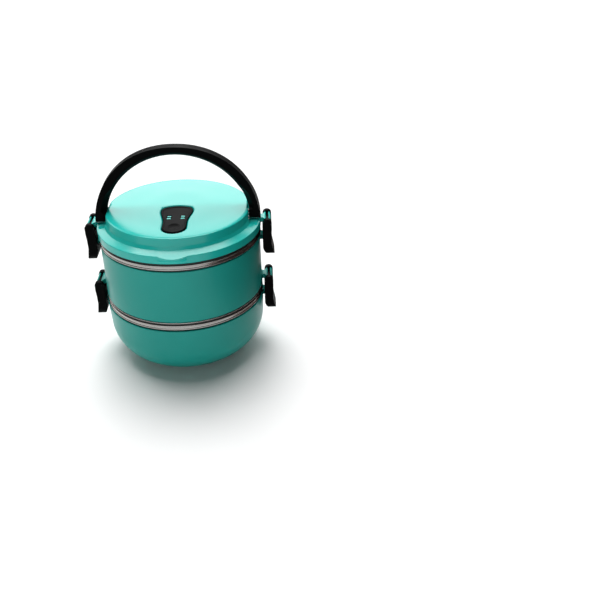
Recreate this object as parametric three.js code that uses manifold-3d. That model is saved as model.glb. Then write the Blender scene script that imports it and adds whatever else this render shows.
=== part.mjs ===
// Two-tier tiffin carrier: two steel bowls in plastic shells, stacked under a lid.
// Four side clasps hold the stack and two half-ring bails fold flat round the lid.
// Millimetres, +Z up, origin on the table under the middle, clasps on the +X and -X sides.
import * as THREE from 'three';
import { mergeVertices } from 'three/addons/utils/BufferGeometryUtils.js';
import Module from 'manifold-3d';

const wasm = await Module();
wasm.setup();

// Driving dimensions
const TURN_STEPS = 48;
const GAP = 0.3;
const TIER_PITCH = 59.1;

const SHELL_TOP_R = 73.8;
const SHELL_R = 73;
const SHELL_WALL = 2.3;
const FOOT_R = 31;
const FOOT_RECESS = 0.9;
const LOWER_SHELL_TOP = 56.6;
const LOWER_CORNER_R = 36;
const UPPER_SHELL_BOTTOM = 65.5;
const UPPER_SHELL_TOP = 115.8;
const UPPER_CORNER_R = 12;

const BOWL_R = 69.2;
const BOWL_WALL = 1;
const RIM_HEIGHT = 4.5;
const RIM_R = 73.3;
const LOWER_RIM_BASE = 57.9;
const UPPER_RIM_BASE = 117.7;
const SEAL_LIP_IN = 66;
const SEAL_LIP_OUT = 67.9;
const SEAL_OUT = 72.9;
const GASKET_R = 69.6;
const TRIM_RING_R = 73.25;
const TRIM_RING_Z = [64.15, 65.3];

const LID_BOTTOM = 124.2;
const LID_R = 73.6;
const LID_WALL = 2.2;
const LID_SHOULDER = 131.2;
const PLATEAU_EDGE_R = 64.5;
const PLATEAU_EDGE_Z = 143.4;
const CROWN_RISE = 1.6;
const FLAT_X = 62.6;
const FLAT_HALF = 19;
const FLAT_FLOOR = 132.35;
const INNER_PLATE_R = 70.9;
const INNER_PLATE_Z = [124.5, 126];
const TAB_R = 22;
const TAB_REACH = 76.2;
const TAB_Z = [128.7, 130.9];

const BAIL_PIVOT_Y = 6.8;
const BAIL_PIVOT_Z = 134.4;
const BAIL_IN_R = 65.3;
const BAIL_OUT_R = 74;
const BAIL_MID_R = 73;
const BAIL_FULLNESS = 2.1;
const BAIL_MID_DEPTH = 4.6;
const BAIL_LEG_X = 63.4;
const BAIL_FOOT_Y = -5.1;
const BAIL_PIN_R = 1.5;
const BAIL_PIN_X = [61, 72.6];
const BAIL_ARCH_Y = -33;
const BAIL_LEG_Y = -17;

const CLASP_HALF_WIDTH = 12.5;
const CLASP_BAR_X = 79.6;
const CLASP_BAR_R = 1.7;
const CLASP_BAR_RISE = 13.6;
const CLASP_LEVELS = [116, 116 - TIER_PITCH];
const CLASP_END_R = 10.5;
const CLASP_HINGE_HALF = 8.5;
const CLASP_CATCH_HALF = 6.8;
const HOOK_HALF_WIDTH = 8.2;
const HOOK_WAIST = 2.9;
const HOOK_R = 3.4;
const HOOK_ARM_Z = [-2.1, 2.6];
const LUG_HALF_WIDTH = 6;

const VENT_HINGE_Y = -24;
const VENT_HINGE_Z = 142.9;
const VENT_POCKET_FLOOR = 136.8;
const VENT_HOLE_Y = -41;
const VENT_HALF_BROAD = 14;
const VENT_HALF_NARROW = 10.2;
const VENT_WINDOW_X = [3.8, 8.2];
const VENT_POST_X = [4.3, 7.7];
const VENT_HOLE_R = 3;
const VENT_FLAP_Z = [142.2, 144.7];

// Solid helpers
function solid(geometry) {
  geometry.deleteAttribute('normal');
  geometry.deleteAttribute('uv');
  const merged = mergeVertices(geometry, 1e-4);
  const index = merged.index.array;
  const triangles = [];
  for (let i = 0; i < index.length; i += 3) {
    const [a, b, c] = [index[i], index[i + 1], index[i + 2]];
    if (a !== b && b !== c && c !== a) triangles.push(a, b, c);
  }
  return new wasm.Manifold(new wasm.Mesh({
    numProp: 3,
    vertProperties: new Float32Array(merged.attributes.position.array),
    triVerts: new Uint32Array(triangles),
  }));
}

function toGeometry(body) {
  const { vertProperties, triVerts } = body.getMesh();
  const geometry = new THREE.BufferGeometry();
  geometry.setAttribute('position', new THREE.BufferAttribute(vertProperties, 3));
  geometry.setIndex(new THREE.BufferAttribute(triVerts, 1));
  geometry.computeVertexNormals();
  return geometry;
}

// A turned body from [radius, height] points, listed up the outside and down the inside
function turned(profile) {
  const points = profile.map(([r, z]) => new THREE.Vector2(r, z));
  if (profile[0][0] > 0) points.push(points[0].clone());
  return solid(new THREE.LatheGeometry(points, TURN_STEPS).rotateX(Math.PI / 2));
}

function arc(centreR, centreZ, radius, fromDeg, toDeg, steps) {
  return Array.from({ length: steps + 1 }, (_, i) => {
    const angle = THREE.MathUtils.degToRad(fromDeg + ((toDeg - fromDeg) * i) / steps);
    return [centreR + radius * Math.cos(angle), centreZ + radius * Math.sin(angle)];
  });
}

function shapeOf(points) {
  return new THREE.Shape(points.map(([x, y]) => new THREE.Vector2(x, y)));
}

// Prisms: the outline lies in XY, YZ or XZ and is drawn out along the remaining axis
function prismZ(shape, low, high, curveSegments = 8) {
  const options = { depth: high - low, bevelEnabled: false, curveSegments };
  return solid(new THREE.ExtrudeGeometry(shape, options).translate(0, 0, low));
}

function prismAlong(axis, points, low, high) {
  const options = { depth: high - low, bevelEnabled: false };
  const geometry = new THREE.ExtrudeGeometry(shapeOf(points), options).translate(0, 0, low);
  const turn = new THREE.Matrix4();
  const [x, y, z] = [[1, 0, 0], [0, 1, 0], [0, 0, 1]].map((v) => new THREE.Vector3(...v));
  if (axis === 'x') turn.makeBasis(y, z, x);
  if (axis === 'y') turn.makeBasis(x, z, y.negate());
  return solid(geometry.applyMatrix4(turn));
}

function block(x, y, z) {
  const size = [x, y, z].map(([low, high]) => high - low);
  const middle = [x, y, z].map(([low, high]) => (high + low) / 2);
  return solid(new THREE.BoxGeometry(...size).translate(...middle));
}

function rodAlongX(radius, low, high, y, z, sides = 16) {
  const rod = new THREE.CylinderGeometry(radius, radius, high - low, sides).rotateZ(Math.PI / 2);
  return solid(rod.translate((low + high) / 2, y, z));
}

function rodAlongY(radius, half, x, z, sides = 16) {
  return solid(new THREE.CylinderGeometry(radius, radius, 2 * half, sides).translate(x, 0, z));
}

function rodAlongZ(radius, low, high, y, sides = 20) {
  const rod = new THREE.CylinderGeometry(radius, radius, high - low, sides).rotateX(Math.PI / 2);
  return solid(rod.translate(0, y, (low + high) / 2));
}

function joinAll(bodies) {
  return bodies.reduce((whole, body) => whole.add(body));
}

function cutAll(body, tools) {
  return tools.reduce((rest, tool) => rest.subtract(tool), body);
}

// The same feature on the +X and the -X side
function bothSides(body) {
  return body.add(body.rotate([0, 0, 180]));
}

// Wedge lug near the top of a shell, which the clasp above hooks over
function catchLug(level) {
  const outline = [[71.6, -5], [78.6, -5], [79.2, -4.4], [79.2, -2.6], [71.6, -0.9]];
  const points = outline.map(([x, z]) => [x, level + z]);
  return prismAlong('y', points, -LUG_HALF_WIDTH, LUG_HALF_WIDTH);
}

// Open-topped hook that holds a clasp's hinge bar, with the arm that carries it
function claspHook(level, armRoot) {
  const barZ = level + CLASP_BAR_RISE;
  const ring = rodAlongY(HOOK_R, HOOK_HALF_WIDTH, CLASP_BAR_X, barZ, 24);
  const tip = CLASP_BAR_X - 2.2;
  const middle = (armRoot + tip) / 2;
  const half = [[armRoot, 6.4], [middle, HOOK_WAIST], [tip, HOOK_HALF_WIDTH - 0.6]];
  const plan = [...half, ...half.map(([x, y]) => [x, -y]).reverse()];
  const [armLow, armHigh] = HOOK_ARM_Z;
  const arm = prismZ(shapeOf(plan), barZ + armLow, barZ + armHigh);
  const bore = rodAlongY(CLASP_BAR_R + GAP, HOOK_HALF_WIDTH + 1, CLASP_BAR_X, barZ, 24);
  const mouth = block(
    [CLASP_BAR_X - 1.5, CLASP_BAR_X + 1.5],
    [-HOOK_HALF_WIDTH - 1, HOOK_HALF_WIDTH + 1],
    [barZ, barZ + 5],
  );
  return cutAll(ring.add(arm), [bore, mouth]);
}

function lowerShell() {
  const corner = SHELL_R - LOWER_CORNER_R;
  const profile = [
    [0, FOOT_RECESS], [FOOT_R - 1, FOOT_RECESS], [FOOT_R, 0],
    ...arc(corner, LOWER_CORNER_R, LOWER_CORNER_R, -90, 0, 7),
    [SHELL_TOP_R, LOWER_SHELL_TOP],
    [SHELL_TOP_R - SHELL_WALL, LOWER_SHELL_TOP],
    ...arc(corner, LOWER_CORNER_R, LOWER_CORNER_R - SHELL_WALL, 0, -90, 7),
    [0, SHELL_WALL],
  ];
  return turned(profile).add(bothSides(catchLug(CLASP_LEVELS[1])));
}

function upperShell() {
  const inside = SHELL_R - SHELL_WALL - 0.4;
  const profile = [
    [0, 66.5], [64, 66.5], [64.5, UPPER_SHELL_BOTTOM],
    [SHELL_R - 0.7, UPPER_SHELL_BOTTOM], [SHELL_R, UPPER_SHELL_BOTTOM + 0.7],
    [SHELL_R - 0.5, UPPER_SHELL_TOP],
    [inside, UPPER_SHELL_TOP], [inside, 69.5], [inside - 1.5, 68], [0, 68],
  ];
  const outerParts = bothSides(claspHook(CLASP_LEVELS[1], 72.2).add(catchLug(CLASP_LEVELS[0])));
  return turned(profile).add(outerParts);
}

// Steel bowl with a rounded floor corner and a thick rolled rim band
function bowl(floorZ, cornerR, rimBase) {
  const corner = BOWL_R - cornerR;
  const cornerZ = floorZ + cornerR;
  const rimTop = rimBase + RIM_HEIGHT;
  const inside = BOWL_R - BOWL_WALL;
  return turned([
    [0, floorZ],
    ...arc(corner, cornerZ, cornerR, -90, 0, 6),
    [BOWL_R, rimBase], [RIM_R - 0.4, rimBase], [RIM_R, rimBase + 0.5],
    [RIM_R, rimTop - 0.5], [RIM_R - 0.5, rimTop],
    [inside + 0.7, rimTop], [inside, rimTop - 0.8],
    ...arc(corner, cornerZ, cornerR - BOWL_WALL, 0, -90, 6),
    [0, floorZ + BOWL_WALL],
  ]);
}

function ring(inR, outR, low, high) {
  return turned([[inR, low], [outR, low], [outR, high], [inR, high]]);
}

// Soft ring that sits on a bowl's rim, with a lip that reaches down inside the bowl
function rimSeal(rimTop) {
  const low = rimTop + 0.25;
  const high = rimTop + 1.55;
  const lipEnd = rimTop - 2.7;
  return turned([
    [SEAL_LIP_IN, lipEnd], [SEAL_LIP_OUT - 0.4, lipEnd], [SEAL_LIP_OUT, lipEnd + 0.6],
    [SEAL_LIP_OUT, low], [SEAL_OUT, low], [SEAL_OUT, high], [SEAL_LIP_IN, high],
  ]);
}

// Thin bright ring between the two tiers
function trimRing() {
  const [low, high] = TRIM_RING_Z;
  const edge = TRIM_RING_R - 0.45;
  return turned([
    [SEAL_LIP_IN, low], [edge, low], [TRIM_RING_R, low + 0.35], [TRIM_RING_R, high - 0.35],
    [edge, high], [SEAL_LIP_IN, high],
  ]);
}

// Outline of the vent flap seen from above, broad at the rear and narrow at the thumb end
function ventOutline(grow) {
  const half = VENT_HALF_NARROW + grow;
  const broad = VENT_HALF_BROAD + grow;
  const rear = -1.6 + grow;
  const outline = new THREE.Shape();
  outline.moveTo(-half, -44.6);
  outline.absarc(0, -44.6, half, Math.PI, 2 * Math.PI, false);
  outline.lineTo(half, -34);
  outline.bezierCurveTo(half + 0.3, -26, broad, -18, broad, -11.5);
  outline.bezierCurveTo(broad, rear - 4.4, broad - 2.2, rear - 2.4, broad - 6, rear - 1.4);
  outline.quadraticCurveTo(0, rear + 1, 6 - broad, rear - 1.4);
  outline.bezierCurveTo(2.2 - broad, rear - 2.4, -broad, rear - 4.4, -broad, -11.5);
  outline.bezierCurveTo(-broad, -18, -half - 0.3, -26, -half, -34);
  return outline;
}

// Cover with a flange, a rising wall and a crowned plateau, hollow underneath
function lidCap() {
  const top = PLATEAU_EDGE_Z;
  const crown = [48, 32, 16, 0].map((r) => [r, top + 0.2 + CROWN_RISE * (1 - (r / 64) ** 2)]);
  const profile = [
    [0, top - 0.8], [60.2, top - 2.4], [60.6, 134.2], [61.5, 131.6], [68, 129.6],
    [LID_R - LID_WALL, 128.6],
    [LID_R - LID_WALL, LID_BOTTOM], [LID_R - 0.4, LID_BOTTOM], [LID_R, LID_BOTTOM + 0.4],
    [LID_R, LID_SHOULDER - 0.5], [LID_R - 0.4, LID_SHOULDER], [69.6, 132.2],
    [67.4, 133], [66, 134.6], [65.4, 136.8],
    [PLATEAU_EDGE_R, top - 1.2], [PLATEAU_EDGE_R - 0.6, top - 0.3], [PLATEAU_EDGE_R - 2, top + 0.2],
    ...crown,
  ];
  return turned(profile);
}

// Small lip that juts from the front of the flange, to lift the lid by
function thumbTab() {
  const disc = rodAlongZ(TAB_R, ...TAB_Z, TAB_R - TAB_REACH, 48);
  return disc.subtract(rodAlongZ(LID_R - 1.2, 125, 135, 0, 64));
}

// Two open hooks that the flap's hinge bars snap into
function ventHingePosts() {
  const post = block(VENT_POST_X, [VENT_HINGE_Y - 3.4, VENT_HINGE_Y + 3.4], [136, 144]);
  const bore = rodAlongX(1.35, 3, 10, VENT_HINGE_Y, VENT_HINGE_Z);
  const mouth = block([3, 10], [VENT_HINGE_Y - 0.95, VENT_HINGE_Y + 0.95], [VENT_HINGE_Z, 146]);
  const hook = cutAll(post, [bore, mouth]);
  return hook.add(hook.mirror([1, 0, 0]));
}

function lidCover() {
  const tub = prismZ(ventOutline(2.2), VENT_POCKET_FLOOR - 2.2, 143.2);
  const arm = claspHook(CLASP_LEVELS[0], 72.6);
  const whole = joinAll([lidCap(), thumbTab(), bothSides(arm), tub]);
  const pocket = prismZ(ventOutline(0.5), VENT_POCKET_FLOOR, 150);
  const flat = block([FLAT_X, 74.6], [-FLAT_HALF, FLAT_HALF], [FLAT_FLOOR, 150]);
  const bores = [-1, 1].map((side) =>
    rodAlongX(BAIL_PIN_R + GAP, 55, 70, side * BAIL_PIVOT_Y, BAIL_PIVOT_Z));
  const sideCuts = bothSides(joinAll([flat, ...bores]));
  const ventHole = rodAlongZ(VENT_HOLE_R, 130, 140, VENT_HOLE_Y);
  return cutAll(whole, [sideCuts, pocket, ventHole]).add(ventHingePosts());
}

// Disc that closes the cover from below, with its own vent hole
function lidInnerPlate() {
  const [low, high] = INNER_PLATE_Z;
  const plate = turned([[0, low], [INNER_PLATE_R, low], [INNER_PLATE_R, high], [0, high]]);
  return plate.subtract(rodAlongZ(VENT_HOLE_R + 0.2, low - 1, high + 1, VENT_HOLE_Y));
}

// Flap with two small windows, each crossed by a short hinge bar
function ventFlap() {
  const plate = prismZ(ventOutline(0), ...VENT_FLAP_Z);
  const window = block(VENT_WINDOW_X, [VENT_HINGE_Y - 4, VENT_HINGE_Y + 4], [140, 150]);
  const windows = window.add(window.mirror([1, 0, 0]));
  const [inner, outer] = VENT_WINDOW_X;
  const bar = rodAlongX(1, inner - 0.3, outer + 0.3, VENT_HINGE_Y, VENT_HINGE_Z, 12);
  return plate.subtract(windows).add(bar).add(bar.mirror([1, 0, 0]));
}

// Soft plug under the flap's thumb end, which closes the vent hole
function ventPlug() {
  const disc = rodAlongZ(4.2, VENT_POCKET_FLOOR + GAP, 141.9, VENT_HOLE_Y);
  return disc.add(rodAlongZ(2.2, 135.4, VENT_POCKET_FLOOR + 1, VENT_HOLE_Y));
}

// Plan outline of one folded bail: a half ring, a little fuller than an ellipse outside,
// with straight inner faces at its two ends
function bailPlan() {
  const reach = Math.sqrt(BAIL_IN_R ** 2 - BAIL_LEG_X ** 2);
  const from = Math.atan2(-reach, BAIL_LEG_X);
  const inner = Array.from({ length: 25 }, (_, i) => {
    const angle = from - ((Math.PI + 2 * from) * i) / 24;
    return [BAIL_IN_R * Math.cos(angle), BAIL_IN_R * Math.sin(angle)];
  });
  const outer = Array.from({ length: 31 }, (_, i) => {
    const angle = Math.PI * (0.025 + (0.95 * i) / 30);
    const across = Math.abs(Math.cos(angle)) ** (2 / BAIL_FULLNESS);
    const out = Math.sin(angle) ** (2 / BAIL_FULLNESS);
    return [-Math.sign(Math.cos(angle)) * BAIL_OUT_R * across, -BAIL_MID_R * out];
  });
  const cornerX = BAIL_OUT_R - 0.4;
  return shapeOf([
    [-BAIL_LEG_X, BAIL_FOOT_Y], [-72, BAIL_FOOT_Y], [-cornerX, BAIL_FOOT_Y - 1.2], ...outer,
    [cornerX, BAIL_FOOT_Y - 1.2], [72, BAIL_FOOT_Y], [BAIL_LEG_X, BAIL_FOOT_Y], ...inner,
  ]);
}

// Side outline of the folded bail: deep at the pivots, thin round the rest of the ring
function bailSide() {
  const top = BAIL_PIVOT_Z + BAIL_PIVOT_Y - GAP / 2;
  const foot = FLAT_FLOOR + 0.2;
  const knuckle = BAIL_PIVOT_Z - foot;
  const round = arc(-BAIL_PIVOT_Y, BAIL_PIVOT_Z, knuckle, -90, -25, 4);
  return [
    [-76, top], [-76, top - BAIL_MID_DEPTH], [BAIL_ARCH_Y, top - BAIL_MID_DEPTH],
    [BAIL_LEG_Y, foot], ...round, [-4, BAIL_PIVOT_Z], [-4, top],
  ];
}

// Space that the lid's flange and rising wall take up under the folded bail
function flangeClearance() {
  const space = turned([
    [60, 130], [77, 130], [77, 131.5], [73.3, 131.55], [69.7, 132.55], [67.9, 134.4],
    [67.3, 136.4], [65.9, 138.2], [65, 142.2], [60, 142.2],
  ]);
  return space.intersect(block([-80, 80], [-80, BAIL_LEG_Y], [120, 150]));
}

// The front bail is shaped folded, then stood up about its pivots
function frontBail() {
  const slab = prismZ(bailPlan(), 130, 143);
  const folded = slab.intersect(prismAlong('x', bailSide(), -80, 80)).subtract(flangeClearance());
  const bore = rodAlongX(BAIL_PIN_R + GAP, 58, 78, -BAIL_PIVOT_Y, BAIL_PIVOT_Z);
  return cutAll(folded, [bore, bore.mirror([1, 0, 0])])
    .translate([0, BAIL_PIVOT_Y, -BAIL_PIVOT_Z])
    .rotate([-90, 0, 0])
    .translate([0, -BAIL_PIVOT_Y, BAIL_PIVOT_Z]);
}

function bailPin(sideX, sideY) {
  const [low, high] = BAIL_PIN_X.map((x) => x * sideX).sort((a, b) => a - b);
  return rodAlongX(BAIL_PIN_R, low, high, sideY * BAIL_PIVOT_Y, BAIL_PIVOT_Z);
}

// Clasp outline seen from the side, straight at the top and round at the thumb end
function claspBlank(level) {
  const half = CLASP_HALF_WIDTH;
  const low = level - 20.4 + CLASP_END_R;
  const left = arc(CLASP_END_R - half, low, CLASP_END_R, 180, 270, 6);
  const right = arc(half - CLASP_END_R, low, CLASP_END_R, 270, 360, 6);
  return prismAlong('x', [...left, ...right, [half, level + 30], [-half, level + 30]], 60, 95);
}

// Clasp on the +X side: ears on a hinge bar, a window for the lug and a flared thumb end
function clasp(level) {
  const barZ = level + CLASP_BAR_RISE;
  const head = arc(CLASP_BAR_X, barZ, 4, 0, 180, 10);
  const grip = [
    [75, 8], [75, -11], [76.4, -15.4], [78.4, -19.4], [80, -20.4], [85.2, -20.4], [85.7, -19],
    [84.2, -13], [83.1, -6], [83.2, 2], [83.6, 8],
  ].map(([x, z]) => [x, level + z]);
  const plate = prismAlong('y', [...head, ...grip], -CLASP_HALF_WIDTH, CLASP_HALF_WIDTH);
  const hinge = block([70, 90], [-CLASP_HINGE_HALF, CLASP_HINGE_HALF], [level + 9.6, level + 25]);
  const window = block([70, 90], [-CLASP_CATCH_HALF, CLASP_CATCH_HALF], [level - 6.2, level - 0.2]);
  const bar = rodAlongY(CLASP_BAR_R, CLASP_HINGE_HALF + 0.3, CLASP_BAR_X, barZ);
  return cutAll(plate, [hinge, window]).intersect(claspBlank(level)).add(bar);
}

// Materials
const finishes = {
  teal: { color: 0x6fd6c8, roughness: 0.35, metalness: 0 },
  black: { color: 0x111213, roughness: 0.38, metalness: 0 },
  steel: { color: 0xc9c6c0, roughness: 0.3, metalness: 1 },
  rubber: { color: 0x0c0c0d, roughness: 0.7, metalness: 0 },
};

const carrier = new THREE.Group();

function place(name, body, finish) {
  const material = new THREE.MeshStandardMaterial(finishes[finish]);
  const mesh = new THREE.Mesh(toGeometry(body), material);
  mesh.name = name;
  carrier.add(mesh);
}

// Lower tier
place('lower_shell', lowerShell(), 'teal');
place('lower_bowl', bowl(4.6, 32, LOWER_RIM_BASE), 'steel');
place('lower_rim_gasket', ring(GASKET_R, 72.3, 56.85, 57.65), 'rubber');

// Upper tier
place('upper_shell', upperShell(), 'teal');
place('upper_bowl', bowl(68.4, UPPER_CORNER_R, UPPER_RIM_BASE), 'steel');
place('upper_rim_gasket', ring(GASKET_R, 71.8, 116.05, 117.45), 'rubber');
place('upper_base_seal', rimSeal(LOWER_RIM_BASE + RIM_HEIGHT), 'rubber');
place('upper_trim_ring', trimRing(), 'steel');

// Lid with its hardware
place('lid_cover', lidCover(), 'teal');
place('lid_inner_plate', lidInnerPlate(), 'teal');
place('lid_seal', rimSeal(UPPER_RIM_BASE + RIM_HEIGHT), 'rubber');
place('vent_flap', ventFlap(), 'black');
place('vent_plug', ventPlug(), 'rubber');

// Bails and their pins
const front = frontBail();
place('front_bail', front, 'black');
place('rear_bail', front.rotate([0, 0, 180]), 'black');
for (const [sideX, wordX] of [[-1, 'left'], [1, 'right']]) {
  for (const [sideY, wordY] of [[-1, 'front'], [1, 'rear']]) {
    place(`${wordY}_${wordX}_pin`, bailPin(sideX, sideY), 'steel');
  }
}

// Clasps
CLASP_LEVELS.forEach((level, tier) => {
  const owner = ['lid', 'tier'][tier];
  const right = clasp(level);
  place(`${owner}_clasp_right`, right, 'black');
  place(`${owner}_clasp_left`, right.rotate([0, 0, 180]), 'black');
});

export default carrier;
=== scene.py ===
"""Looks of the two-tier tiffin carrier: smooth plastic, spun steel and rubber over the CAD frame."""
import math

import bmesh
import bpy
from mathutils import Matrix, Vector


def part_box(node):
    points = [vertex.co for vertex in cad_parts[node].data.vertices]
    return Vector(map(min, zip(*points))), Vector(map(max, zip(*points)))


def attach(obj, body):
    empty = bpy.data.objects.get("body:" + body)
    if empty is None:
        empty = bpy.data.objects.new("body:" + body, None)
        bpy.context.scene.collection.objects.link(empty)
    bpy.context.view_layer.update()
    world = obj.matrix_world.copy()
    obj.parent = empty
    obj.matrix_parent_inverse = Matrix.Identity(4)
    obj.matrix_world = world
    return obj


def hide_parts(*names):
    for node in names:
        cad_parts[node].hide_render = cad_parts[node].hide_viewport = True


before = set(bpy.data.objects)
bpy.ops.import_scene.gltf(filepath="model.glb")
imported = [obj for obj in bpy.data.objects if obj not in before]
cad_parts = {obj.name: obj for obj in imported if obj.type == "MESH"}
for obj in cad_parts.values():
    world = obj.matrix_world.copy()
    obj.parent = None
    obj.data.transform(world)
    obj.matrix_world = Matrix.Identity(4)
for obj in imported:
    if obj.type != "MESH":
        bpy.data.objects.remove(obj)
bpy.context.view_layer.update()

MM = 0.001
TURN_STEPS = 192
ARC_STEP = 11       # degrees between the points of a rounded corner
EDGE_SHARE = 0.49   # most of an edge that one rounded corner may use
ON_AXIS = 1e-6
SIDES = {"right": 1, "left": -1}


def node_span(node, axis):
    """Lowest and highest place of a CAD node along one axis, in millimetres."""
    low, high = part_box(node)
    return low[axis] / MM, high[axis] / MM


# ---------------------------------------------------------------- dimensions, in millimetres
LOWER_TOP = node_span("lower_shell", 2)[1]
UPPER_BOTTOM, UPPER_TOP = node_span("upper_shell", 2)
LOWER_RIM_TOP = node_span("lower_bowl", 2)[1]
UPPER_RIM_TOP = node_span("upper_bowl", 2)[1]
RIM_HEIGHT = 4.5
RIM_R = node_span("lower_bowl", 0)[1]
LOWER_FLOOR = node_span("lower_bowl", 2)[0]
UPPER_FLOOR = node_span("upper_bowl", 2)[0]
BOWL_R = 69.2
BOWL_WALL = 1
LOWER_BOWL_CORNER = 32
UPPER_BOWL_CORNER = 12
GASKET_IN_R = 69.6
LOWER_GASKET_R = 72.3
UPPER_GASKET_R = 71.8

SHELL_R = 73
SHELL_TOP_R = node_span("lower_shell", 1)[1]
SHELL_WALL = 2.3
LOWER_CORNER = 36
CORNER_STEPS = 24
FOOT_IN_R = 31.2
FOOT_RECESS = 0.9
UPPER_FLOOR_RISE = 2.5
SEAL_IN_R = 66
SEAL_LIP_R = 67.9
SEAL_OUT_R = 72.9
TRIM_R = 73.25

LID_BOTTOM, LID_TOP = node_span("lid_cover", 2)
LID_R = node_span("lid_cover", 1)[1]
LID_SHOULDER = LID_BOTTOM + 7
PLATEAU_EDGE_Z = LID_BOTTOM + 19.2
CROWN_R = 64
CROWN_RISE = LID_TOP - PLATEAU_EDGE_Z - 0.2
RIPPLE_HEIGHT = 0.06
RIPPLE_TURN = 0.22   # radians for each millimetre of radius
LID_CAVITY_R = 71.4
FLAT_X = 62.6
FLAT_HALF = 19
FLAT_FLOOR = LID_SHOULDER + 1.15
TAB_R = 22
TAB_Y = -54.2
PLATE_R = 70.9
PLATE_HOLE_R = 3.2

BAIL_FOOT_Z, BAIL_TOP_Z = node_span("front_bail", 2)
BAIL_PIVOT_Y = 6.8
BAIL_PIVOT_Z = 134.4
BAIL_CENTRE_Z = BAIL_PIVOT_Z - BAIL_PIVOT_Y
BAIL_MID_R = BAIL_TOP_Z - BAIL_CENTRE_Z
BAIL_OUT_R = 74
BAIL_FULLNESS = 2.1
BAIL_IN_R = 65.3
BAIL_LEG_X = 63.4
BAIL_BACK_Y = -0.15
BAIL_LEG_Y = -8.65
BAIL_ARCH_Y = -4.75
KNUCKLE_R = 1.85
KNUCKLE_RISE = 6.95
PIN_R = 1.5
LID_BORE_R = 1.8
BAIL_BORE_R = 1.75

CLASP_BAR_X = 79.6
CLASP_BAR_RISE = 13.6
CLASP_BAR_R = 1.7
CLASP_BAR_HALF = 9.4
CLASP_EYE_R = 4
CLASP_HALF = node_span("lid_clasp_right", 1)[1]
TIER_STEP = 59.1
CLASP_LEVELS = {"lid": UPPER_TOP + 0.2, "tier": UPPER_TOP + 0.2 - TIER_STEP}
LUG_HALF = 6
HOOK_HALF = 8.2
HOOK_OUT_R = 3.4
HOOK_IN_R = 2.0
HOOK_MOUTH = math.radians(62)
HOOK_STEPS = 36
STEM_ROOT_HALF = 6.4
STEM_WAIST_HALF = 2.9
STEM_TIP_HALF = 7.6

VENT_HINGE = Vector((0, -24, 142.9))
VENT_HOLE_Y = -41
VENT_HOLE_R = 3
VENT_THUMB_Y = -44.6
VENT_POCKET_FLOOR = 136.8
VENT_HALF_BROAD = 14
VENT_HALF_NARROW = 10.2
VENT_WINDOW_X = (3.8, 8.2)
VENT_POST_X = (4.3, 7.7)


# ---------------------------------------------------------------- mesh helpers
def new_object(name, vertices, faces):
    """A mesh object made from points in millimetres."""
    mesh = bpy.data.meshes.new(name)
    mesh.from_pydata([Vector(v) * MM for v in vertices], [], faces)
    mesh.validate()
    obj = bpy.data.objects.new(name, mesh)
    bpy.context.scene.collection.objects.link(obj)
    outward(obj)
    return obj


def outward(obj):
    """Points every face of a closed mesh outward."""
    shape = bmesh.new()
    shape.from_mesh(obj.data)
    bmesh.ops.recalc_face_normals(shape, faces=shape.faces)
    shape.to_mesh(obj.data)
    shape.free()


def settle(obj):
    """Turns an object's modifiers into its mesh."""
    depsgraph = bpy.context.evaluated_depsgraph_get()
    mesh = bpy.data.meshes.new_from_object(obj.evaluated_get(depsgraph))
    obj.modifiers.clear()
    obj.data = mesh
    return obj


def soften(obj, width, angle=32, segments=3):
    """Rounds every edge that turns more than angle."""
    bevel = obj.modifiers.new("round", "BEVEL")
    bevel.width = width * MM
    bevel.segments = segments
    bevel.limit_method = "ANGLE"
    bevel.angle_limit = math.radians(angle)
    bevel.use_clamp_overlap = True
    return settle(obj)


def finish_normals(obj):
    """Smooth shading whose normals follow the large faces, so flats stay flat."""
    obj.data.shade_smooth()
    weighted = obj.modifiers.new("weighted", "WEIGHTED_NORMAL")
    weighted.keep_sharp = True
    weighted.weight = 60
    return settle(obj)


def combine(obj, tool, operation):
    """Adds, cuts or intersects obj with a tool object, which is used up."""
    step = obj.modifiers.new("combine", "BOOLEAN")
    step.operation = operation
    step.solver = "EXACT"
    step.object = tool
    settle(obj)
    bpy.data.objects.remove(tool)
    return obj


def cut(obj, *tools):
    """Takes the tools' shapes away from obj."""
    for tool in tools:
        combine(obj, tool, "DIFFERENCE")
    return obj


def join(obj, *tools):
    """Makes obj and the tools one closed shape."""
    for tool in tools:
        combine(obj, tool, "UNION")
    return obj


def fillet(points, closed):
    """Rounds the corners of an outline given as (a, b, radius) points."""
    rounded = []
    count = len(points)
    for i, (a, b, radius) in enumerate(points):
        here = Vector((a, b))
        if radius == 0 or (not closed and i in (0, count - 1)):
            rounded.append(here)
            continue
        before = Vector(points[i - 1][:2]) - here
        after = Vector(points[(i + 1) % count][:2]) - here
        half = before.angle(after) / 2
        reach = min(radius / math.tan(half), before.length * EDGE_SHARE, after.length * EDGE_SHARE)
        arc_r = reach * math.tan(half)
        centre = here + (before.normalized() + after.normalized()).normalized() * arc_r / math.sin(half)
        start = here + before.normalized() * reach - centre
        end = here + after.normalized() * reach - centre
        turn = start.angle_signed(end)
        steps = max(3, round(abs(math.degrees(turn)) / ARC_STEP))
        for k in range(steps + 1):
            spin = Matrix.Rotation(-turn * k / steps, 2)
            rounded.append(centre + spin @ start)
    return rounded


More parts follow.
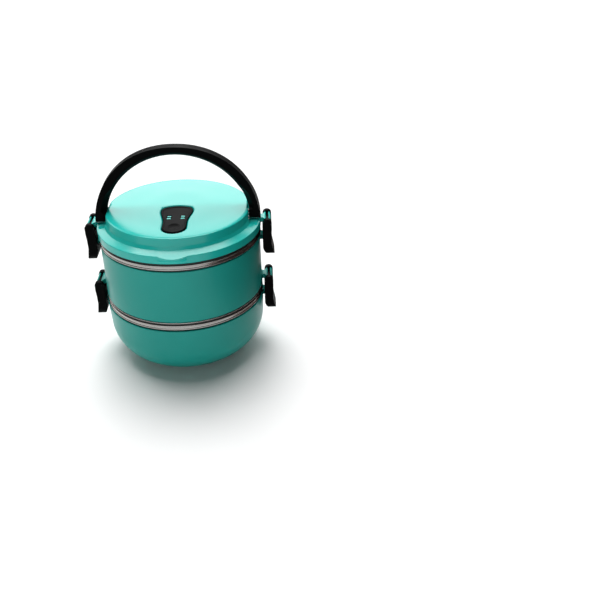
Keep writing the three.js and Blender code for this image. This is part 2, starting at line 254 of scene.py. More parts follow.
def revolve(name, points, steps=TURN_STEPS):
    """Turns a (radius, height, fillet) outline about Z. An outline from axis to axis is open."""
    open_ends = points[0][0] == 0
    outline = fillet(points, closed=not open_ends)
    vertices, rings = [], []
    for r, z in outline:
        if r < ON_AXIS:
            rings.append([len(vertices)] * steps)
            vertices.append((0, 0, z))
            continue
        rings.append(list(range(len(vertices), len(vertices) + steps)))
        vertices += [
            (r * math.cos(2 * math.pi * k / steps), r * math.sin(2 * math.pi * k / steps), z)
            for k in range(steps)
        ]
    faces = []
    pairs = list(zip(rings, rings[1:]))
    if not open_ends:
        pairs.append((rings[-1], rings[0]))
    for low, high in pairs:
        for k in range(steps):
            corners = [low[k], low[(k + 1) % steps], high[(k + 1) % steps], high[k]]
            faces.append(list(dict.fromkeys(corners)))
    return new_object(name, vertices, faces)


def prism(name, outline, axis, low, high):
    """Draws a closed outline out along an axis: XY outline for z, YZ for x and XZ for y."""
    place = {
        "x": lambda p, d: (d, p[0], p[1]),
        "y": lambda p, d: (p[0], d, p[1]),
        "z": lambda p, d: (p[0], p[1], d),
    }[axis]
    count = len(outline)
    vertices = [place(p, low) for p in outline] + [place(p, high) for p in outline]
    faces = [list(range(count)), list(range(count, 2 * count))]
    faces += [[k, (k + 1) % count, count + (k + 1) % count, count + k] for k in range(count)]
    return new_object(name, vertices, faces)


def side_slab(name, outline, side, near, far):
    """Draws a filleted (y, z, radius) outline out from near to far on one side of the carrier."""
    return prism(name, fillet(outline, closed=True), "x", *sorted((near * side, far * side)))


def circle(a, b, radius, steps=32):
    """Points of a circle round (a, b)."""
    return [
        (a + radius * math.cos(2 * math.pi * k / steps), b + radius * math.sin(2 * math.pi * k / steps))
        for k in range(steps)
    ]


def mirrored(obj):
    """A copy of obj reflected from front to rear."""
    copy = bpy.data.objects.new(obj.name + "_other", obj.data.copy())
    bpy.context.scene.collection.objects.link(copy)
    copy.data.transform(Matrix.Diagonal((1, -1, 1, 1)))
    copy.data.flip_normals()
    return copy


def smoothstep(value, low, high):
    """A soft ramp from 0 at low to 1 at high."""
    t = min(1, max(0, (value - low) / (high - low)))
    return t * t * (3 - 2 * t)


# ---------------------------------------------------------------- materials, in metres
RIM_PAINTED_SHADE_R = (0.0695, 0.0715)   # radii between which a bowl's bright inside turns to its rim, darkened there as painted shade
PLASTIC_GRAIN_DEPTH = 0.00003
STEEL_LINE_DEPTH = 0.00003
RUBBER_GRAIN_DEPTH = 0.00004


def material(slot):
    """A new material with its node tree, and the shader that the rest links to."""
    made = bpy.data.materials.new(slot)
    made.use_nodes = True
    nodes = made.node_tree.nodes
    links = made.node_tree.links
    return made, nodes, links, nodes["Principled BSDF"]


def noise(nodes, links, vector, scale, detail=3, roughness=0.5):
    """Noise at a place, with scale in cells per metre."""
    node = nodes.new("ShaderNodeTexNoise")
    node.inputs["Scale"].default_value = scale
    node.inputs["Detail"].default_value = detail
    node.inputs["Roughness"].default_value = roughness
    links.new(vector, node.inputs["Vector"])
    return node.outputs["Fac"]


def remap(nodes, links, value, low, high, source=(0.3, 0.7)):
    """Stretches a value from its source range to the range from low to high."""
    node = nodes.new("ShaderNodeMapRange")
    node.inputs["From Min"].default_value, node.inputs["From Max"].default_value = source
    node.inputs["To Min"].default_value = low
    node.inputs["To Max"].default_value = high
    links.new(value, node.inputs["Value"])
    return node.outputs["Result"]


def two_colours(nodes, links, value, first, second):
    """A blend of two colours by a noise value."""
    node = nodes.new("ShaderNodeValToRGB")
    node.color_ramp.elements[0].position = 0.3
    node.color_ramp.elements[1].position = 0.7
    node.color_ramp.elements[0].color = (*first, 1)
    node.color_ramp.elements[1].color = (*second, 1)
    links.new(value, node.inputs["Fac"])
    return node.outputs["Color"]


def bump(nodes, links, height, target, distance, strength):
    """Small relief on a shader from a height value, with its depth in metres."""
    node = nodes.new("ShaderNodeBump")
    node.inputs["Distance"].default_value = distance
    node.inputs["Strength"].default_value = strength
    links.new(height, node.inputs["Height"])
    links.new(node.outputs["Normal"], target.inputs["Normal"])


def place_vector(nodes):
    """Place on the object, so that a pattern moves with its piece."""
    return nodes.new("ShaderNodeTexCoord").outputs["Object"]


def moulded_plastic(slot, first, second, rough, grain, specular):
    """Moulded plastic: faint mottling, a fine spark-eroded grain and slightly uneven gloss."""
    made, nodes, links, shader = material(slot)
    where = place_vector(nodes)
    mottling = noise(nodes, links, where, scale=16, detail=1)
    links.new(two_colours(nodes, links, mottling, first, second), shader.inputs["Base Color"])
    wear = noise(nodes, links, where, scale=40, detail=1)
    links.new(remap(nodes, links, wear, rough[0], rough[1]), shader.inputs["Roughness"])
    shader.inputs["Specular IOR Level"].default_value = specular
    relief = noise(nodes, links, where, scale=grain, detail=2)
    bump(nodes, links, relief, shader, PLASTIC_GRAIN_DEPTH, strength=0.08)
    return made


def spun_steel(slot, colour, rough, lines, rim_painted_shade=1):
    """Steel with the circular lines that spinning and polishing leave round the axis, its colour darkened at
    the rim as painted shade.
    """
    made, nodes, links, shader = material(slot)
    split = nodes.new("ShaderNodeSeparateXYZ")
    links.new(place_vector(nodes), split.inputs["Vector"])
    flat = nodes.new("ShaderNodeCombineXYZ")
    links.new(split.outputs["X"], flat.inputs["X"])
    links.new(split.outputs["Y"], flat.inputs["Y"])
    radius = nodes.new("ShaderNodeVectorMath")
    radius.operation = "LENGTH"
    links.new(flat.outputs["Vector"], radius.inputs[0])
    turning = nodes.new("ShaderNodeCombineXYZ")
    links.new(radius.outputs["Value"], turning.inputs["X"])
    links.new(split.outputs["Z"], turning.inputs["Z"])
    streaks = noise(nodes, links, turning.outputs["Vector"], scale=lines, detail=4, roughness=0.65)
    clouds = noise(nodes, links, place_vector(nodes), scale=24, detail=3)
    darker = tuple(c * 0.8 for c in colour)
    shade = nodes.new("ShaderNodeVectorMath")
    shade.operation = "SCALE"
    links.new(two_colours(nodes, links, clouds, darker, colour), shade.inputs[0])
    # painted shade: the colour is scaled down towards the rim radius, so the rim band looks darker than the
    # bright inside
    rim_painted_shade_scale = remap(nodes, links, radius.outputs["Value"], 1, rim_painted_shade, source=RIM_PAINTED_SHADE_R)
    links.new(rim_painted_shade_scale, shade.inputs["Scale"])
    links.new(shade.outputs["Vector"], shader.inputs["Base Color"])
    links.new(remap(nodes, links, streaks, rough[0], rough[1]), shader.inputs["Roughness"])
    shader.inputs["Metallic"].default_value = 1
    shader.inputs["Anisotropic"].default_value = 0.55
    tangent = nodes.new("ShaderNodeTangent")
    tangent.direction_type = "RADIAL"
    tangent.axis = "Z"
    links.new(tangent.outputs["Tangent"], shader.inputs["Tangent"])
    bump(nodes, links, streaks, shader, STEEL_LINE_DEPTH, strength=0.5)
    return made


def rubber(slot, colour):
    """Silicone rubber: satin black with a little dust in its grain."""
    made, nodes, links, shader = material(slot)
    where = place_vector(nodes)
    dusty = tuple(c * 1.8 for c in colour)
    dust = noise(nodes, links, where, scale=150, detail=4)
    links.new(two_colours(nodes, links, dust, colour, dusty), shader.inputs["Base Color"])
    links.new(remap(nodes, links, dust, 0.48, 0.66), shader.inputs["Roughness"])
    relief = noise(nodes, links, where, scale=1800, detail=2)
    bump(nodes, links, relief, shader, RUBBER_GRAIN_DEPTH, strength=0.5)
    return made


MATERIALS = {
    # the tiers' teal; the lid's copy below is the same teal, made lighter in colour as painted light
    "teal_plastic": moulded_plastic(
        "teal_plastic", (0.010, 0.325, 0.278), (0.014, 0.35, 0.298),
        rough=(0.30, 0.38), grain=500, specular=0.22),
    # the lid's copy of the teal: glossier, and with a lighter base colour as painted light for its lit top
    "glossy_painted_light_teal": moulded_plastic(
        "glossy_painted_light_teal", (0.008, 0.47, 0.41), (0.012, 0.50, 0.435),
        rough=(0.18, 0.23), grain=500, specular=0.42),
    "black_plastic": moulded_plastic(
        "black_plastic", (0.0012, 0.0013, 0.0014), (0.0024, 0.0026, 0.0028),
        rough=(0.36, 0.48), grain=700, specular=0.022),
    # the rim factor 0.53 darkens the rim band's colour as painted shade
    "steel": spun_steel("steel", (0.78, 0.76, 0.73), rough=(0.14, 0.26), lines=900, rim_painted_shade=0.53),
    "pin_steel": spun_steel("pin_steel", (0.55, 0.55, 0.55), rough=(0.25, 0.4), lines=1400),
    "black_rubber": rubber("black_rubber", (0.006, 0.006, 0.006)),
}


def deliver(obj, slot, body, *nodes, look=None):
    """Gives a finished piece its material, its body and the CAD nodes it stands for."""
    finish_normals(obj)
    obj.data.materials.clear()
    obj.data.materials.append(MATERIALS[look or slot])
    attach(obj, body)
    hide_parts(*nodes)
    return obj


# ---------------------------------------------------------------- clasp hardware on the shells
def catch_lug(level, side):
    """The wedge that a clasp's window drops over."""
    root, tip = 71.6, 79.2
    outline = [(root, -5), (tip - 0.6, -5), (tip, -4.4), (tip, -2.6), (root, -0.9)]
    points = [(x * side, level + z) for x, z in outline]
    return soften(prism("lug", points, "y", -LUG_HALF, LUG_HALF), 0.5)


def clasp_hook(level, root, side):
    """The open-topped hook that carries a clasp's bar, on a stem that is waisted in plan."""
    bar_z = level + CLASP_BAR_RISE
    first, swept = math.pi / 2 + HOOK_MOUTH / 2, 2 * math.pi - HOOK_MOUTH
    turns = [first + swept * k / HOOK_STEPS for k in range(HOOK_STEPS + 1)]
    outer = [(HOOK_OUT_R * math.cos(t), HOOK_OUT_R * math.sin(t)) for t in turns]
    inner = [(HOOK_IN_R * math.cos(t), HOOK_IN_R * math.sin(t)) for t in reversed(turns)]
    points = [((CLASP_BAR_X + x) * side, bar_z + z) for x, z in outer + inner]
    hook = soften(prism("hook", points, "y", -HOOK_HALF, HOOK_HALF), 0.35)
    tip = CLASP_BAR_X - 2.2
    middle = (root + tip) / 2
    plan = [
        (root, -STEM_ROOT_HALF, 0), (middle, -STEM_WAIST_HALF, 2.4), (tip, -STEM_TIP_HALF, 0),
        (tip, STEM_TIP_HALF, 0), (middle, STEM_WAIST_HALF, 2.4), (root, STEM_ROOT_HALF, 0),
    ]
    outline = [(x * side, y) for x, y in fillet(plan, closed=True)]
    stem = prism("stem", outline, "z", bar_z - 2.1, bar_z + 2.6)
    return join(hook, soften(stem, 0.3, angle=60))


# ---------------------------------------------------------------- tiers
def lower_shell():
    """The rounded bottom tier's shell, with a shallow recess inside its foot ring."""
    corner = LOWER_CORNER
    centre = SHELL_R - corner
    outline = [
        (0, FOOT_RECESS, 0), (FOOT_IN_R - 1, FOOT_RECESS, 0.6), (FOOT_IN_R, 0, 0.5), (centre, 0, 0),
    ]
    for k in range(1, CORNER_STEPS + 1):
        angle = -math.pi / 2 + math.pi / 2 * k / CORNER_STEPS
        outline.append((centre + corner * math.cos(angle), corner + corner * math.sin(angle), 0))
    outline += [(SHELL_TOP_R, LOWER_TOP, 0.6), (SHELL_TOP_R - SHELL_WALL, LOWER_TOP, 0.6)]
    inner = corner - SHELL_WALL
    for k in range(CORNER_STEPS + 1):
        angle = -math.pi / 2 * k / CORNER_STEPS
        outline.append((centre + inner * math.cos(angle), corner + inner * math.sin(angle), 0))
    outline.append((0, SHELL_WALL, 0))
    shell = revolve("lower_tier_shell", outline)
    lugs = [catch_lug(CLASP_LEVELS["tier"], side) for side in SIDES.values()]
    deliver(join(shell, *lugs), "teal_plastic", "lower_tier", "lower_shell")


def upper_shell():
    """The straight upper tier's shell, with the hooks of its own clasps and the lugs of the lid's."""
    inside = SHELL_R - SHELL_WALL - 0.4
    floor_top = UPPER_BOTTOM + UPPER_FLOOR_RISE
    outline = [
        (0, UPPER_BOTTOM + 1, 0), (64, UPPER_BOTTOM + 1, 0.4), (64.6, UPPER_BOTTOM, 0.4),
        (SHELL_R, UPPER_BOTTOM, 0.9), (SHELL_R - 0.5, UPPER_TOP, 0.6), (inside, UPPER_TOP, 0.6),
        (inside, floor_top, 2), (0, floor_top, 0),
    ]
    shell = revolve("upper_tier_shell", outline)
    parts = []
    for side in SIDES.values():
        parts.append(clasp_hook(CLASP_LEVELS["tier"], 72.2, side))
        parts.append(catch_lug(CLASP_LEVELS["lid"], side))
    deliver(join(shell, *parts), "teal_plastic", "upper_tier", "upper_shell")


def bowl(name, body, node, floor, corner, rim_top):
    """A spun bowl with a rounded floor corner and a rolled rim of bead, flat and bead."""
    rim = rim_top - RIM_HEIGHT
    inside = BOWL_R - BOWL_WALL
    flat = RIM_R - 0.45
    outline = [
        (0, floor, 0), (BOWL_R, floor, corner), (BOWL_R, rim, 0.3),
        (RIM_R, rim, 0.55), (RIM_R, rim + 1.2, 0.5), (flat, rim + 1.45, 0.35),
        (flat, rim_top - 1.45, 0.35), (RIM_R, rim_top - 1.2, 0.5), (RIM_R, rim_top, 0.55),
        (inside, rim_top, 1.2), (inside, floor + BOWL_WALL, corner - BOWL_WALL), (0, floor + BOWL_WALL, 0),
    ]
    deliver(revolve(name, outline), "steel", body, node)


def soft_ring(name, body, node, in_r, out_r):
    """A gasket with rounded edges, as high as its CAD node."""
    low, high = node_span(node, 2)
    half = (high - low) * 0.45
    outline = [(in_r, low, half), (out_r, low, half), (out_r, high, half), (in_r, high, half)]
    deliver(revolve(name, outline), "black_rubber", body, node)


def rim_seal(name, body, node, rim_top):
    """A soft ring on a bowl's rim with a lip that reaches down inside the bowl."""
    low, high, end = rim_top + 0.25, rim_top + 1.55, rim_top - 2.7
    outline = [
        (SEAL_IN_R, end, 0.5), (SEAL_LIP_R, end, 0.8), (SEAL_LIP_R, low, 0.4), (SEAL_OUT_R, low, 0.5),
        (SEAL_OUT_R, high, 0.5), (SEAL_IN_R, high, 0.5),
    ]
    deliver(revolve(name, outline), "black_rubber", body, node)


def trim_ring():
    """The thin steel ring under the upper tier."""
    low, high = node_span("upper_trim_ring", 2)
    outline = [(SEAL_IN_R, low, 0.2), (TRIM_R, low, 0.55), (TRIM_R, high, 0.55), (SEAL_IN_R, high, 0.2)]
    deliver(revolve("tier_trim_ring", outline), "steel", "upper_tier", "upper_trim_ring")


# ---------------------------------------------------------------- lid
def crown(radius):
    """Height of the lid's crowned top at a radius, with the faint rings that moulding leaves."""
    ripple = RIPPLE_HEIGHT * math.cos(radius * RIPPLE_TURN) * smoothstep(radius, 0, 20)
    return PLATEAU_EDGE_Z + 0.13 + CROWN_RISE * (1 - (radius / CROWN_R) ** 2) + ripple


def lid_outline():
    """Section of the lid, from the axis out along its inside and back over the flange and crowned top."""
    top = PLATEAU_EDGE_Z
    inside = [
        (0, top - 0.8, 0), (60.2, top - 2.4, 1), (60.6, 134.2, 1), (61.5, 131.6, 1),
        (68, 129.6, 1), (LID_CAVITY_R, 128.6, 1), (LID_CAVITY_R, LID_BOTTOM, 0.3),
    ]
    outside = [
        (LID_R, LID_BOTTOM, 0.5), (LID_R, LID_SHOULDER, 0.6), (67, 133.7, 1),
        (65.5, 136.4, 2.4), (64.5, top - 0.2, 0.9), (63.2, crown(63.2), 0),
    ]
    outside += [(r, crown(r), 0) for r in range(61, 0, -2)]
    return inside + outside + [(0, crown(0), 0)]


def vent_outline(grow):
    """Plan of the vent flap, broad and gently arched behind, waisted, and round at the thumb end."""
    half, broad, rear = VENT_HALF_NARROW + grow, VENT_HALF_BROAD + grow, -1.6 + grow
    points = []
    for k in range(25):
        angle = math.pi + math.pi * k / 24
        points.append(Vector((half * math.cos(angle), VENT_THUMB_Y + half * math.sin(angle))))

    def curve(*ends, steps):
        """Adds the points of a Bezier curve, without its first."""
        ends = [Vector(p) for p in ends]
        for k in range(1, steps + 1):
            row, t = list(ends), k / steps
            while len(row) > 1:
                row = [a.lerp(b, t) for a, b in zip(row, row[1:])]
            points.append(row[0])

    neck, shoulder, corner = -34, -11.5, rear - 1.4
    points.append(Vector((half, neck)))
    curve((half, neck), (half + 0.3, -26), (broad, -18), (broad, shoulder), steps=12)
    curve((broad, shoulder), (broad, rear - 4.4), (broad - 2.2, rear - 2.4), (broad - 6, corner), steps=9)
    curve((broad - 6, corner), (0, rear + 1), (6 - broad, corner), steps=14)
    curve((6 - broad, corner), (2.2 - broad, rear - 2.4), (-broad, rear - 4.4), (-broad, shoulder), steps=9)
    curve((-broad, shoulder), (-broad, -18), (-half - 0.3, -26), (-half, neck), steps=12)
    return points


def loft(name, rings):
    """Closes a stack of equally long point rings into a solid."""
    count = len(rings[0])
    vertices = [p for ring in rings for p in ring]
    last = count * (len(rings) - 1)
    faces = [list(range(count)), list(range(last, last + count))]
    for level in range(len(rings) - 1):
        base = level * count
        faces += [
            [base + k, base + (k + 1) % count, base + count + (k + 1) % count, base + count + k]
            for k in range(count)
        ]
    return new_object(name, vertices, faces)


def vent_recess():
    """Cutter for the vent's pocket, whose lip rolls over into the crowned top."""
    rings = [[(p.x, p.y, VENT_POCKET_FLOOR) for p in vent_outline(0.5)]]
    for grow, drop in ((0.5, -1.6), (0.62, -0.9), (0.95, -0.4), (1.5, -0.08), (1.9, 0.03), (1.9, 3)):
        rings.append([(p.x, p.y, crown(p.length) + drop) for p in vent_outline(grow)])
    return loft("recess", rings)


def vent_posts():
    """The two hooked lugs on the pocket floor that the flap's bars clip into."""
    y, z = VENT_HINGE.y, VENT_HINGE.z
    half, foot, top, mouth = 3.4, 136, 144, 0.95
    outline = [
        (y - half, foot, 0), (y + half, foot, 0), (y + half, top, 0.8), (y + mouth, top, 0.3),
        (y + mouth, z, 0), (y + 1.2, z - 0.9, 0.3), (y, z - 1.4, 0.8), (y - 1.2, z - 0.9, 0.3),
        (y - mouth, z, 0), (y - mouth, top, 0.3), (y - half, top, 0.8),
    ]
    return [soften(side_slab("post", outline, side, *VENT_POST_X), 0.2, angle=60) for side in (-1, 1)]


def thumb_tab():
    """The lip at the front, whose top carries the flange's slope outwards."""
    edge_z, ridge_z, root_r = 128.7, 134.1, 72.4
    disc = prism("tab", circle(0, TAB_Y, TAB_R, steps=96), "z", edge_z, 133)
    slope = revolve("slope", [(0, 125, 0), (80, 125, 0), (80, edge_z, 0), (66, ridge_z, 0), (0, ridge_z, 0)])
    combine(disc, slope, "INTERSECT")
    body = prism("clear", circle(0, 0, root_r, TURN_STEPS), "z", 120, 135)
    return soften(cut(disc, body), 0.4)


def lid():
    """The lid's cover, with its tab, vent pocket, hooks, and the flats that the bails' feet turn on."""
    cover = revolve("lid_shell", lid_outline())
    flats = []
    for side in SIDES.values():
        plan = [(FLAT_X, -FLAT_HALF, 2.5), (78, -FLAT_HALF, 0), (78, FLAT_HALF, 0), (FLAT_X, FLAT_HALF, 2.5)]
        outline = [(x * side, y) for x, y in fillet(plan, closed=True)]
        flats.append(prism("flat", outline, "z", FLAT_FLOOR, 150))
    tub = prism("tub", vent_outline(2.2), "z", VENT_POCKET_FLOOR - 2.2, 142.6)
    hooks = [clasp_hook(CLASP_LEVELS["lid"], 72.6, side) for side in SIDES.values()]
    join(cover, thumb_tab(), tub)
    cut(cover, *flats, vent_recess())
    for side in SIDES.values():
        for pivot in (-BAIL_PIVOT_Y, BAIL_PIVOT_Y):
            spans = sorted((55 * side, 70 * side))
            cut(cover, prism("bore", circle(pivot, BAIL_PIVOT_Z, LID_BORE_R), "x", *spans))
    cut(cover, prism("vent", circle(0, VENT_HOLE_Y, VENT_HOLE_R), "z", 130, 140))
    join(cover, *hooks, *vent_posts())
    # the lid cover takes the lighter teal copy, whose extra brightness is painted light
    deliver(cover, "teal_plastic", "lid", "lid_cover", look="glossy_painted_light_teal")


def lid_plate():
    """The plate that closes the lid's underside, with a hole below the vent."""
    low, high = node_span("lid_inner_plate", 2)
    outline = [(0, low, 0), (PLATE_R, low, 0.5), (PLATE_R, high, 0.4), (0, high, 0)]
    plate = revolve("lid_liner_plate", outline)
    cut(plate, prism("vent", circle(0, VENT_HOLE_Y, PLATE_HOLE_R), "z", 120, 130))
    deliver(plate, "teal_plastic", "lid", "lid_inner_plate")


# ---------------------------------------------------------------- vent flap
def thumb_dish(top):
    """Cutter for the shallow dish at the flap's thumb end: a flattened ball above its top."""
    mesh = bpy.data.meshes.new("dish")
    ball = bmesh.new()
    bmesh.ops.create_uvsphere(ball, u_segments=48, v_segments=24, radius=MM)
    ball.to_mesh(mesh)
    ball.free()
    centre = Vector((0, -42.5, top + 3.4)) * MM
    mesh.transform(Matrix.Translation(centre) @ Matrix.Diagonal((8.5, 9.5, 5, 1)))
    dish = bpy.data.objects.new("dish", mesh)
    bpy.context.scene.collection.objects.link(dish)
    return dish


def vent_flap():
    """The rocking flap, sunk inside a raised edge, with two windows that its hinge bars cross."""
    high = node_span("vent_flap", 2)[1]
    levels = [
        (-0.5, 142.2), (0, 142.6), (0, high - 0.75), (-0.25, high - 0.25), (-0.8, high),
        (-1.3, high), (-1.75, high - 0.2), (-2.2, high - 0.55),
    ]
    flap = loft("vent_rocker", [[(p.x, p.y, z) for p in vent_outline(grow)] for grow, z in levels])
    cut(flap, thumb_dish(high))
    y, z = VENT_HINGE.y, VENT_HINGE.z
    for side in (-1, 1):
        near, far = (x * side for x in VENT_WINDOW_X)
        window = [(near, y - 4, 0.9), (far, y - 4, 0.9), (far, y + 4, 0.9), (near, y + 4, 0.9)]
        cut(flap, prism("window", fillet(window, closed=True), "z", 140, 150))
        spans = sorted((near - 0.3 * side, far + 0.3 * side))
        join(flap, prism("bar", circle(y, z, 1, steps=24), "x", *spans))
    deliver(flap, "black_plastic", "vent", "vent_flap")


def vent_plug():
    """The soft stopper under the flap, whose narrow end closes the vent hole."""
    tip_z, step_z, top_z = 135.4, 137.1, 141.9
    tip_r, head_r = 2.2, 4.2
    plug = revolve("vent_stopper", [
        (0, tip_z, 0), (tip_r, tip_z, 0.7), (tip_r, step_z, 0.3),
        (head_r, step_z, 0.6), (head_r, top_z, 0.6), (0, top_z, 0),
    ], steps=48)
    plug.data.transform(Matrix.Translation((0, VENT_HOLE_Y * MM, 0)))
    deliver(plug, "black_rubber", "vent", "vent_plug")


# ---------------------------------------------------------------- bails
def bail_depth(rise):
    """Front face of the front bail: deep at the legs and thin over the arch, by height above centre."""
    front = BAIL_LEG_Y + (BAIL_ARCH_Y - BAIL_LEG_Y) * smoothstep(rise, 15, 35)
    knuckle = KNUCKLE_R - math.sqrt(max(0, KNUCKLE_R ** 2 - max(0, KNUCKLE_RISE - rise) ** 2))
    return front + min(knuckle, 1.6)


def bail_inner(rise):
    """Half the clear width between a bail's legs, by height above centre."""
    return min(math.sqrt(BAIL_IN_R ** 2 - rise ** 2), BAIL_LEG_X)


def bail_outer(angle):
    """Outer edge of a bail, a little fuller than an ellipse."""
    power = 2 / BAIL_FULLNESS
    across, up = abs(math.cos(angle)) ** power, abs(math.sin(angle)) ** power
    return Vector((math.copysign(BAIL_OUT_R * across, math.cos(angle)), BAIL_MID_R * up))


def bail_section(inner, outer):
    """Corners of the front bail's section between two points of its plan, with a wide inner chamfer."""
    back, front = BAIL_BACK_Y, bail_depth(inner.y)
    width = (outer - inner).length
    bevelled = smoothstep(inner.y, 13, 16.5)
    haunch = 1 - smoothstep(inner.y, 26, 36)
    reach = 0.6 + 1.9 * bevelled + 2.2 * bevelled * haunch
    chamfer = inner.lerp(outer, min(0.6, reach / width))
    drop = 0.8 + 2.2 * bevelled + 3.4 * bevelled * haunch
    corners = [(inner, back), (outer, back), (outer, front), (chamfer, front), (inner, front + drop)]
    return [(p.x, y, BAIL_CENTRE_Z + p.y) for p, y in corners]


def bail():
    """One half-ring hoop, standing, as a lofted bar whose legs deepen towards the pivots."""
    foot = BAIL_FOOT_Z - BAIL_CENTRE_Z
    first = math.asin((foot / BAIL_MID_R) ** (BAIL_FULLNESS / 2))
    steps = 128
    rings = []
    for k in range(steps + 1):
        angle = first + (math.pi - 2 * first) * k / steps
        outer = bail_outer(angle)
        lean = smoothstep(outer.y, 12, 34)
        rise = outer.y * (1 - lean) + BAIL_IN_R * math.sin(angle) * lean
        clear = bail_inner(min(rise, BAIL_IN_R))
        if lean == 1:
            inner = Vector((BAIL_IN_R * math.cos(angle), rise))
        else:
            inner = Vector((math.copysign(clear, outer.x), rise))
        rings.append(bail_section(inner, outer))
    hoop = loft("hoop", rings)
    soften(hoop, 0.6, angle=26, segments=4)
    for side in SIDES.values():
        spans = sorted((60 * side, 78 * side))
        cut(hoop, prism("bore", circle(-BAIL_PIVOT_Y, BAIL_PIVOT_Z, BAIL_BORE_R), "x", *spans))
    return hoop


def bails():
    """The two hoops, which are mirror images of each other."""
    front = bail()
    rear = mirrored(front)
    for obj, node in ((front, "front_bail"), (rear, "rear_bail")):
        obj.name = node.split("_")[0] + "_hoop"
        deliver(obj, "black_plastic", node, node)


def pins():
    """The four steel pins that the bails turn on."""
    for x_word in ("left", "right"):
        for y_side, y_word in ((-1, "front"), (1, "rear")):
            node = f"{y_word}_{x_word}_pin"
            low, high = node_span(node, 0)
            outline = [(0, low, 0), (PIN_R, low, 0.45), (PIN_R, high, 0.45), (0, high, 0)]
            rod = revolve(f"{y_word}_{x_word}_pivot", outline, steps=32)
            pivot = Vector((0, y_side * BAIL_PIVOT_Y, BAIL_PIVOT_Z)) * MM
            rod.data.transform(Matrix.Translation(pivot) @ Matrix.Rotation(math.pi / 2, 4, "Y"))
            deliver(rod, "pin_steel", "lid", node)


# ---------------------------------------------------------------- clasps
def clasp(name, node, level, side):
    """A swinging clasp: ears on a hinge bar, a window for the lug and a flared thumb end."""
    bar_z = level + CLASP_BAR_RISE
    half, eye, back = CLASP_HALF, CLASP_EYE_R, 75
    side_view = [
        (CLASP_BAR_X - eye, bar_z, 0), (back, level + 8, 6), (back, level - 11, 5),
        (76.4, level - 15.4, 4), (78.4, level - 19.4, 2), (80, level - 20.4, 1),
        (85.2, level - 20.4, 1), (85.7, level - 19, 0.8),
        (84.2, level - 13, 12), (83.1, level - 6, 12), (83.2, level + 2, 8), (83.6, level + 8, 8),
        (CLASP_BAR_X + eye, bar_z, 0),
    ]
    outline = fillet(side_view, closed=False)
    for k in range(1, 18):
        angle = math.pi * k / 18
        outline.append(Vector((CLASP_BAR_X + eye * math.cos(angle), bar_z + eye * math.sin(angle))))
    plate = prism(name, [(x * side, z) for x, z in outline], "y", -half, half)
    fork, saddle, open_end = 8.5, level + 9.6, level + 25
    fork_outline = [(-fork, saddle, 1.5), (fork, saddle, 1.5), (fork, open_end, 0), (-fork, open_end, 0)]
    cut(plate, side_slab("hinge", fork_outline, side, 70, 90))
    catch, low, high = 6.8, level - 6.2, level - 0.2
    catch_outline = [(-catch, low, 1.2), (catch, low, 1.2), (catch, high, 1.2), (-catch, high, 1.2)]
    cut(plate, side_slab("catch", catch_outline, side, 70, 90))
    end, end_r, above = level - 20.5, 10.5, level + 30
    front_view = [(-half, end, end_r), (half, end, end_r), (half + 0.01, above, 0), (-half - 0.01, above, 0)]
    combine(plate, side_slab("blank", front_view, side, 60, 95), "INTERSECT")
    soften(plate, 0.7)
    bar_outline = [(x * side, z) for x, z in circle(CLASP_BAR_X, bar_z, CLASP_BAR_R)]
    bar = prism("bar", bar_outline, "y", -CLASP_BAR_HALF, CLASP_BAR_HALF)
    deliver(join(plate, bar), "black_plastic", node, node)


# ---------------------------------------------------------------- stage, in metres and degrees
FLOOR_HALF = 60
CAMERA_PLACE = (0.0774, -0.6097, 0.4169)
CAMERA_HEADING = (0.0523, 0.9986, 0)
CAMERA_PITCH = 31.70
CAMERA_ROLL = -0.38
CAMERA_LENS = 43.78
CAMERA_SENSOR = 36
SKY_DISCS = {   # bearing from the rear, elevation, spread, and then radiance
    "ceiling": (-12, 70, 46, 6.8),
    "rear_light": (-5, 27, 34, 3),
    "rear_left_light": (-36, 27, 28, 3),
    "rear_right_light": (28, 27, 28, 3),
    "front_light": (192, 12, 50, 1.1),
}


def card(name, corners, colour, roughness=0.9, specular=0.5):
    """A flat sheet on the stage, which isn't part of the carrier."""
    mesh = bpy.data.meshes.new(name)
    mesh.from_pydata(corners, [], [[0, 1, 2, 3]])
    obj = bpy.data.objects.new(name, mesh)
    bpy.context.scene.collection.objects.link(obj)
    made, _, _, shader = material(name)
    shader.inputs["Base Color"].default_value = (*colour, 1)
    shader.inputs["Roughness"].default_value = roughness
    shader.inputs["Specular IOR Level"].default_value = specular
    mesh.materials.append(made)
    return obj


def floor():
    """The pale table, wide enough to reach the horizon."""
    half = FLOOR_HALF
    corners = [(-half, -half, 0), (half, -half, 0), (half, half, 0), (-half, half, 0)]
    card("floor", corners, (0.86, 0.86, 0.86), roughness=0.6, specular=0.2)


def sky_disc(name, azimuth, elevation, spread, radiance):
    """A soft round light far away, by its bearing from the rear, so that the floor is lit evenly."""
    light = bpy.data.lights.new(name, "SUN")
    light.angle = math.radians(spread)
    light.energy = radiance * math.pi * math.sin(light.angle / 2) ** 2
    obj = bpy.data.objects.new(name, light)
    turn, tilt = math.radians(azimuth), math.radians(elevation)
    place = Vector((math.sin(turn) * math.cos(tilt), math.cos(turn) * math.cos(tilt), math.sin(tilt)))
    obj.rotation_euler = (-place).to_track_quat("-Z", "Y").to_euler()
    bpy.context.scene.collection.objects.link(obj)


def standing(x, near, far, low, high):
    """Corners of an upright sheet that faces along X."""
    return [(x, near, low), (x, far, low), (x, far, high), (x, near, high)]


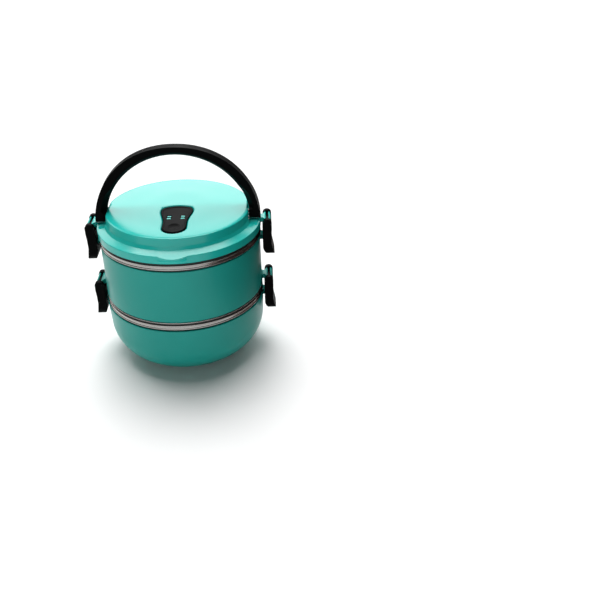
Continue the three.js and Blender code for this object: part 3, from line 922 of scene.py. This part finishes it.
def flags():
    """Cards that the bright metal mirrors: dark to the right, standing and lying, and grey to the left."""
    near, far, low, high = -0.24, 0.35, 0.003, 0.3
    inside, outside, left = 0.135, 0.2, -0.4
    lying = [(inside, near, low), (outside, near, low), (outside, far, low), (inside, far, low)]
    cards = [
        card("right_card", standing(outside, near, far, low, high), (0.035, 0.012, 0.01)),
        card("floor_card", lying, (0.11, 0.06, 0.05)),
        card("left_card", standing(left, near, far, low, high), (0.3, 0.27, 0.22)),
    ]
    for obj in cards:
        obj.visible_camera = False
        obj.visible_shadow = False


def lights():
    """A dim even sky and five soft suns, three of them low behind the carrier."""
    world = bpy.data.worlds.new("studio")
    world.use_nodes = True
    background = world.node_tree.nodes["Background"]
    background.inputs["Color"].default_value = (0.95, 0.98, 1, 1)
    background.inputs["Strength"].default_value = 0.12
    bpy.context.scene.world = world
    for name, (azimuth, elevation, spread, radiance) in SKY_DISCS.items():
        sky_disc(name, azimuth, elevation, spread, radiance)
    flags()


def camera():
    """Looks down at the carrier from the front, a little rolled."""
    pitch, roll = math.radians(CAMERA_PITCH), math.radians(CAMERA_ROLL)
    heading = Vector(CAMERA_HEADING).normalized()
    forward = heading * math.cos(pitch) - Vector((0, 0, math.sin(pitch)))
    right = forward.cross(Vector((0, 0, 1))).normalized()
    up = right.cross(forward)
    level_right = right * math.cos(roll) + up * math.sin(roll)
    level_up = up * math.cos(roll) - right * math.sin(roll)
    turn = Matrix((level_right, level_up, -forward)).transposed().to_4x4()
    data = bpy.data.cameras.new("camera")
    data.sensor_width = CAMERA_SENSOR
    data.lens = CAMERA_LENS
    obj = bpy.data.objects.new("camera", data)
    obj.matrix_world = Matrix.Translation(Vector(CAMERA_PLACE)) @ turn
    bpy.context.scene.collection.objects.link(obj)
    bpy.context.scene.camera = obj


camera()
floor()
lights()
bpy.context.scene.view_settings.view_transform = "Standard"

lower_shell()
bowl("lower_liner", "lower_tier", "lower_bowl", LOWER_FLOOR, LOWER_BOWL_CORNER, LOWER_RIM_TOP)
soft_ring("lower_shell_gasket", "lower_tier", "lower_rim_gasket", GASKET_IN_R, LOWER_GASKET_R)
upper_shell()
bowl("upper_liner", "upper_tier", "upper_bowl", UPPER_FLOOR, UPPER_BOWL_CORNER, UPPER_RIM_TOP)
soft_ring("upper_shell_gasket", "upper_tier", "upper_rim_gasket", GASKET_IN_R, UPPER_GASKET_R)
rim_seal("tier_seal", "upper_tier", "upper_base_seal", LOWER_RIM_TOP)
trim_ring()
lid()
lid_plate()
rim_seal("lid_ring_seal", "lid", "lid_seal", UPPER_RIM_TOP)
vent_flap()
vent_plug()
bails()
pins()
for owner, level in CLASP_LEVELS.items():
    for word, side in SIDES.items():
        clasp(f"{owner}_latch_{word}", f"{owner}_clasp_{word}", level, side)
